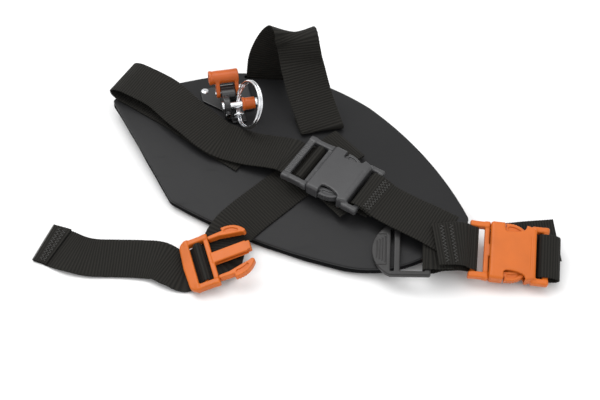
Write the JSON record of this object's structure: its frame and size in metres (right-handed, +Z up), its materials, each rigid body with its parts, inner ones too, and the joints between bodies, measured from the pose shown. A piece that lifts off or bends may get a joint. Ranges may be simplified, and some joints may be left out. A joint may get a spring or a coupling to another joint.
{
  "type": "harness hip plate with straps",
  "caption": "Leaf-shaped padded hip plate of a carrying harness with webbing straps, side-release buckles, an adjuster and a quick-release ring fitting.",
  "frame": {"origin": "on the floor, below the middle of the assembly's box", "axes": "+Z up out of the plate's face, +X along the assembly's long way from the strap tail to the buckle, +Y towards the edge with the strap slot"},
  "size_m": [0.457, 0.252, 0.0877],
  "materials": {
    "shell": "satin, fine grain",
    "foam": "matt foam",
    "black_plastic": "satin moulded",
    "lock_plastic": "satin moulded",
    "orange_plastic": "satin moulded",
    "handle_plastic": "semi-gloss moulded",
    "black_steel": "black coated",
    "chrome": "polished",
    "webbing": "ribbed polypropylene webbing"
  },
  "bodies": {
    "root": {"base_rivets": "chrome", "belt_strap": "webbing", "black_plug_frame": "black_plastic", "black_socket": "black_plastic", "bracket_bolt": "chrome", "foam_backing": "foam", "free_plug_frame": "orange_plastic", "handle_pin": "chrome", "hip_plate": "shell", "hook_base": "black_steel", "ladder_lock": "lock_plastic", "loop_strap": "webbing", "lower_strap": "webbing", "release_bracket": "black_steel", "right_plug_frame": "orange_plastic", "right_socket": "orange_plastic", "roller_cap": "chrome", "roller_shaft": "chrome", "short_strap": "webbing", "side_strap": "webbing", "socket_loop": "webbing", "upper_strap": "webbing"},
    "black_plug_far": {"black_plug_prong_far": "black_plastic"},
    "black_plug_near": {"black_plug_prong_near": "black_plastic"},
    "right_plug_far": {"right_plug_prong_far": "orange_plastic"},
    "right_plug_near": {"right_plug_prong_near": "orange_plastic"},
    "free_plug_far": {"free_plug_prong_far": "orange_plastic"},
    "free_plug_near": {"free_plug_prong_near": "orange_plastic"},
    "handle": {"release_handle": "handle_plastic"},
    "roller_body": {"roller": "handle_plastic"},
    "ring_body": {"split_ring": "chrome"}
  },
  "joints": [
    {"name": "black_plug_far_squeeze", "type": "hinge", "parent": "root", "child": "black_plug_far", "pos_m": [0.03363, 0.00486, 0.03302], "axis": [-0.0147, 0.0094, -0.9998], "range_deg": [0, 8], "stiffness_Nm_per_rad": 0.6},
    {"name": "black_plug_near_squeeze", "type": "hinge", "parent": "root", "child": "black_plug_near", "pos_m": [0.01106, -0.03056, 0.03302], "axis": [0.0147, -0.0094, 0.9998], "range_deg": [0, 8], "stiffness_Nm_per_rad": 0.6},
    {"name": "right_plug_far_squeeze", "type": "hinge", "parent": "root", "child": "right_plug_far", "pos_m": [0.16828, -0.06988, 0.02168], "axis": [-0.0188, 0.2282, -0.9734], "range_deg": [0, 8], "stiffness_Nm_per_rad": 0.6},
    {"name": "right_plug_near_squeeze", "type": "hinge", "parent": "root", "child": "right_plug_near", "pos_m": [0.16359, -0.11053, 0.01225], "axis": [0.0188, -0.2282, 0.9734], "range_deg": [0, 8], "stiffness_Nm_per_rad": 0.6},
    {"name": "free_plug_far_squeeze", "type": "hinge", "parent": "root", "child": "free_plug_far", "pos_m": [-0.07526, -0.07379, 0.01199], "axis": [0.2162, 0.062, -0.9744], "range_deg": [0, 8], "stiffness_Nm_per_rad": 0.6},
    {"name": "free_plug_near_squeeze", "type": "hinge", "parent": "root", "child": "free_plug_near", "pos_m": [-0.06369, -0.11416, 0.01199], "axis": [-0.2162, -0.062, 0.9744], "range_deg": [0, 8], "stiffness_Nm_per_rad": 0.6},
    {"name": "handle_release", "type": "hinge", "parent": "root", "child": "handle", "pos_m": [-0.06444, 0.07933, 0.034], "axis": [0.9777, 0.2069, -0.0352], "range_deg": [-12, 38], "stiffness_Nm_per_rad": 0.05},
    {"name": "roller_spin", "type": "hinge", "parent": "root", "child": "roller_body", "pos_m": [-0.05067, 0.06289, 0.03558], "axis": [0.9777, 0.2069, -0.0352], "continuous": true},
    {"name": "ring_swing", "type": "hinge", "parent": "root", "child": "ring_body", "pos_m": [-0.05389, 0.0574, 0.02603], "axis": [-0.2242, 0.9348, 0.2754], "range_deg": [-2, 3]}
  ]
}
